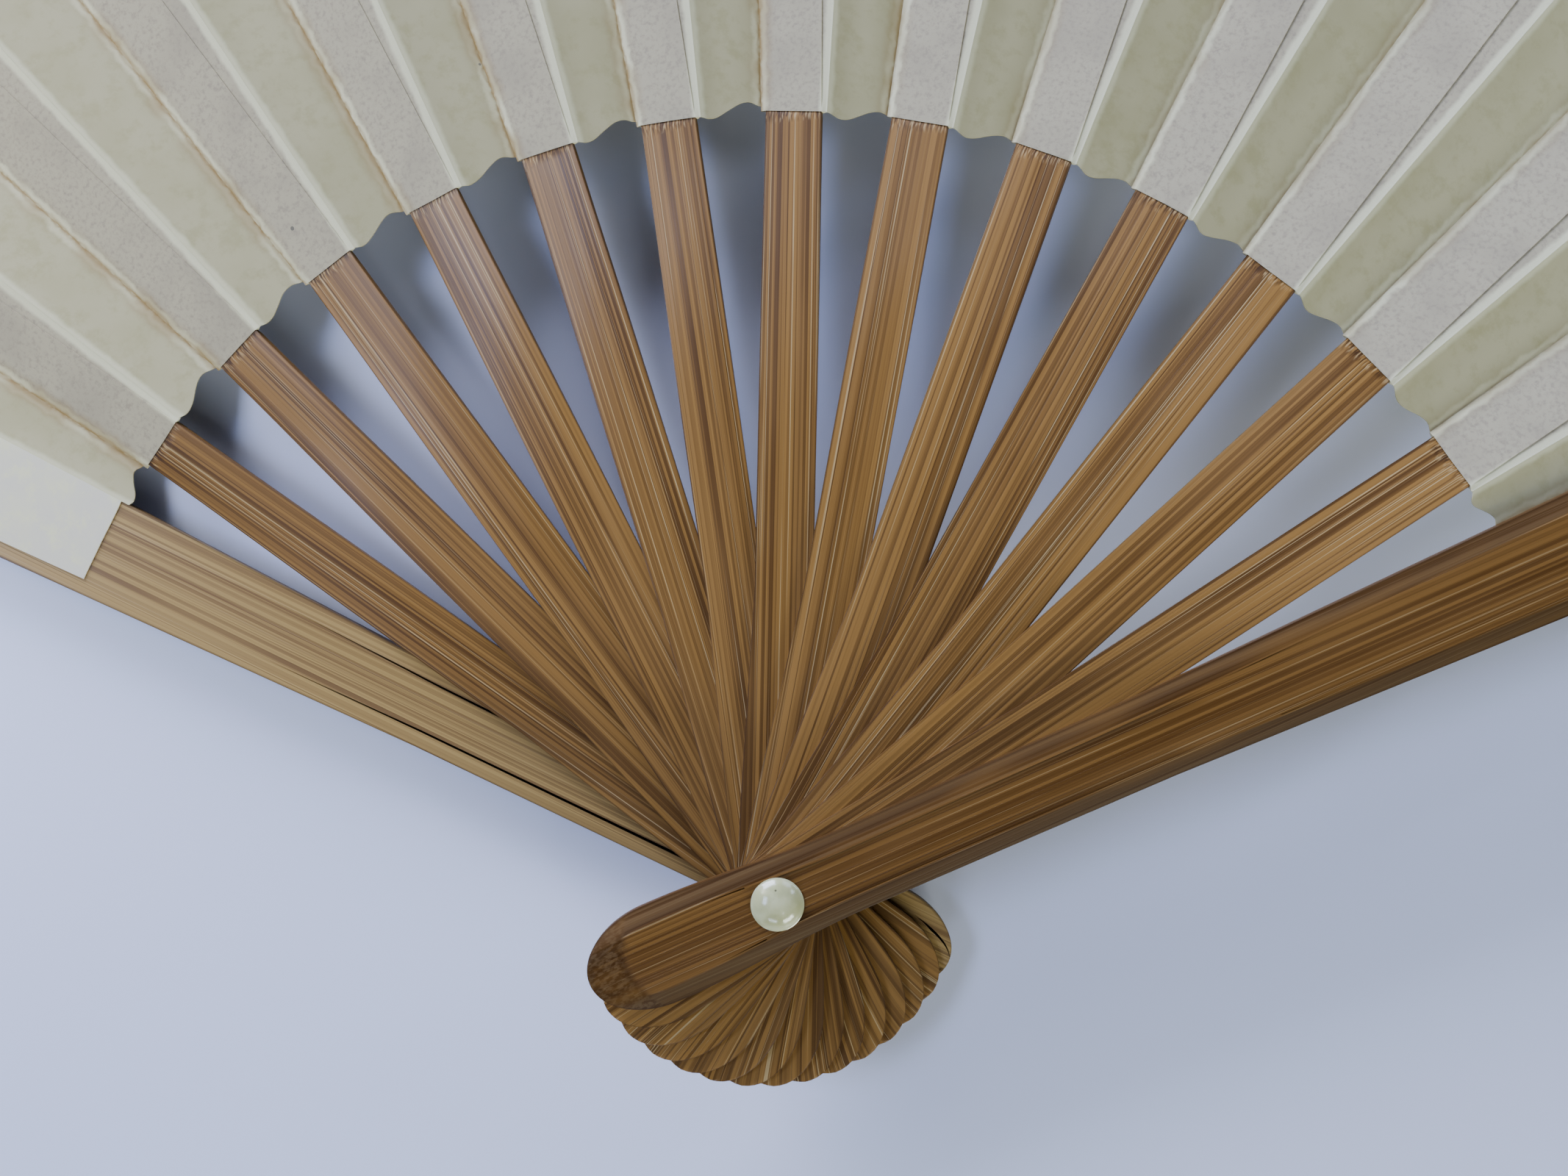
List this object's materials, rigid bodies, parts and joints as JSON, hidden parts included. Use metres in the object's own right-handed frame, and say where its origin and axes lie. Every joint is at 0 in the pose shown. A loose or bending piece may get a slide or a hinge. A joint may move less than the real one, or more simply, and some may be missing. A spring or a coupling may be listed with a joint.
{
  "type": "folding hand fan",
  "caption": "Pleated paper hand fan on carbonised bamboo sticks that turn on one domed rivet, lying open with its ribbed inner side up.",
  "frame": {"origin": "rivet axis, on the small flat of the back rivet head", "axes": "+Z along the rivet, from the back guard up to the front guard; +Y along the middle stick, from the rivet to the leaf; +X to the right as seen from above"},
  "size_m": [0.5258, 0.3112, 0.0223],
  "materials": {
    "guard_bamboo": "sanded, waxed",
    "rib_bamboo": "planed, waxed",
    "pocket_paper": "matte, fibrous",
    "leaf_paper": "matte, smooth",
    "rivet_plastic": "polished"
  },
  "bodies": {
    "guard_back": {"guard_back": "guard_bamboo", "rivet_stud": "rivet_plastic", "rivet_cap": "rivet_plastic", "leaf_end_back": "leaf_paper", "leaf_pleat_01": "leaf_paper"},
    "rib_01": {"rib_01": "rib_bamboo", "leaf_pocket_01": "pocket_paper", "leaf_pleat_02": "leaf_paper"},
    "rib_02": {"rib_02": "rib_bamboo", "leaf_pocket_02": "pocket_paper", "leaf_pleat_03": "leaf_paper"},
    "rib_03": {"rib_03": "rib_bamboo", "leaf_pocket_03": "pocket_paper", "leaf_pleat_04": "leaf_paper"},
    "rib_04": {"rib_04": "rib_bamboo", "leaf_pocket_04": "pocket_paper", "leaf_pleat_05": "leaf_paper"},
    "rib_05": {"rib_05": "rib_bamboo", "leaf_pocket_05": "pocket_paper", "leaf_pleat_06": "leaf_paper"},
    "rib_06": {"rib_06": "rib_bamboo", "leaf_pocket_06": "pocket_paper", "leaf_pleat_07": "leaf_paper"},
    "rib_07": {"rib_07": "rib_bamboo", "leaf_pocket_07": "pocket_paper", "leaf_pleat_08": "leaf_paper"},
    "rib_08": {"rib_08": "rib_bamboo", "leaf_pocket_08": "pocket_paper", "leaf_pleat_09": "leaf_paper"},
    "rib_09": {"rib_09": "rib_bamboo", "leaf_pocket_09": "pocket_paper", "leaf_pleat_10": "leaf_paper"},
    "rib_10": {"rib_10": "rib_bamboo", "leaf_pocket_10": "pocket_paper", "leaf_pleat_11": "leaf_paper"},
    "rib_11": {"rib_11": "rib_bamboo", "leaf_pocket_11": "pocket_paper", "leaf_pleat_12": "leaf_paper"},
    "rib_12": {"rib_12": "rib_bamboo", "leaf_pocket_12": "pocket_paper", "leaf_pleat_13": "leaf_paper"},
    "rib_13": {"rib_13": "rib_bamboo", "leaf_pocket_13": "pocket_paper", "leaf_pleat_14": "leaf_paper"},
    "guard_front": {"guard_front": "guard_bamboo", "leaf_end_front": "leaf_paper"}
  },
  "joints": [
    {"name": "turn_01", "type": "hinge", "parent": "guard_back", "child": "rib_01", "pos_m": [0, 0, 0.012], "axis": [0, 0, 1], "range_deg": [-1, 9.3], "deforming": ["leaf_pleat_01"]},
    {"name": "turn_02", "type": "hinge", "parent": "rib_01", "child": "rib_02", "pos_m": [0, 0, 0.012], "axis": [0, 0, 1], "range_deg": [-1, 9.3], "deforming": ["leaf_pleat_02"]},
    {"name": "turn_03", "type": "hinge", "parent": "rib_02", "child": "rib_03", "pos_m": [0, 0, 0.012], "axis": [0, 0, 1], "range_deg": [-1, 9.3], "deforming": ["leaf_pleat_03"]},
    {"name": "turn_04", "type": "hinge", "parent": "rib_03", "child": "rib_04", "pos_m": [0, 0, 0.012], "axis": [0, 0, 1], "range_deg": [-1, 9.3], "deforming": ["leaf_pleat_04"]},
    {"name": "turn_05", "type": "hinge", "parent": "rib_04", "child": "rib_05", "pos_m": [0, 0, 0.012], "axis": [0, 0, 1], "range_deg": [-1, 9.3], "deforming": ["leaf_pleat_05"]},
    {"name": "turn_06", "type": "hinge", "parent": "rib_05", "child": "rib_06", "pos_m": [0, 0, 0.012], "axis": [0, 0, 1], "range_deg": [-1, 9.3], "deforming": ["leaf_pleat_06"]},
    {"name": "turn_07", "type": "hinge", "parent": "rib_06", "child": "rib_07", "pos_m": [0, 0, 0.012], "axis": [0, 0, 1], "range_deg": [-1, 9.3], "deforming": ["leaf_pleat_07"]},
    {"name": "turn_08", "type": "hinge", "parent": "rib_07", "child": "rib_08", "pos_m": [0, 0, 0.012], "axis": [0, 0, 1], "range_deg": [-1, 9.3], "deforming": ["leaf_pleat_08"]},
    {"name": "turn_09", "type": "hinge", "parent": "rib_08", "child": "rib_09", "pos_m": [0, 0, 0.012], "axis": [0, 0, 1], "range_deg": [-1, 9.3], "deforming": ["leaf_pleat_09"]},
    {"name": "turn_10", "type": "hinge", "parent": "rib_09", "child": "rib_10", "pos_m": [0, 0, 0.012], "axis": [0, 0, 1], "range_deg": [-1, 9.3], "deforming": ["leaf_pleat_10"]},
    {"name": "turn_11", "type": "hinge", "parent": "rib_10", "child": "rib_11", "pos_m": [0, 0, 0.012], "axis": [0, 0, 1], "range_deg": [-1, 9.3], "deforming": ["leaf_pleat_11"]},
    {"name": "turn_12", "type": "hinge", "parent": "rib_11", "child": "rib_12", "pos_m": [0, 0, 0.012], "axis": [0, 0, 1], "range_deg": [-1, 9.3], "deforming": ["leaf_pleat_12"]},
    {"name": "turn_13", "type": "hinge", "parent": "rib_12", "child": "rib_13", "pos_m": [0, 0, 0.012], "axis": [0, 0, 1], "range_deg": [-1, 9.3], "deforming": ["leaf_pleat_13"]},
    {"name": "turn_14", "type": "hinge", "parent": "rib_13", "child": "guard_front", "pos_m": [0, 0, 0.012], "axis": [0, 0, 1], "range_deg": [-1, 9.3], "deforming": ["leaf_pleat_14"]}
  ],
  "couplings": [
    {"joint": "turn_02", "follows": "turn_01", "ratio": 1},
    {"joint": "turn_03", "follows": "turn_01", "ratio": 1},
    {"joint": "turn_04", "follows": "turn_01", "ratio": 1},
    {"joint": "turn_05", "follows": "turn_01", "ratio": 1},
    {"joint": "turn_06", "follows": "turn_01", "ratio": 1},
    {"joint": "turn_07", "follows": "turn_01", "ratio": 1},
    {"joint": "turn_08", "follows": "turn_01", "ratio": 1},
    {"joint": "turn_09", "follows": "turn_01", "ratio": 1},
    {"joint": "turn_10", "follows": "turn_01", "ratio": 1},
    {"joint": "turn_11", "follows": "turn_01", "ratio": 1},
    {"joint": "turn_12", "follows": "turn_01", "ratio": 1},
    {"joint": "turn_13", "follows": "turn_01", "ratio": 1},
    {"joint": "turn_14", "follows": "turn_01", "ratio": 1}
  ]
}
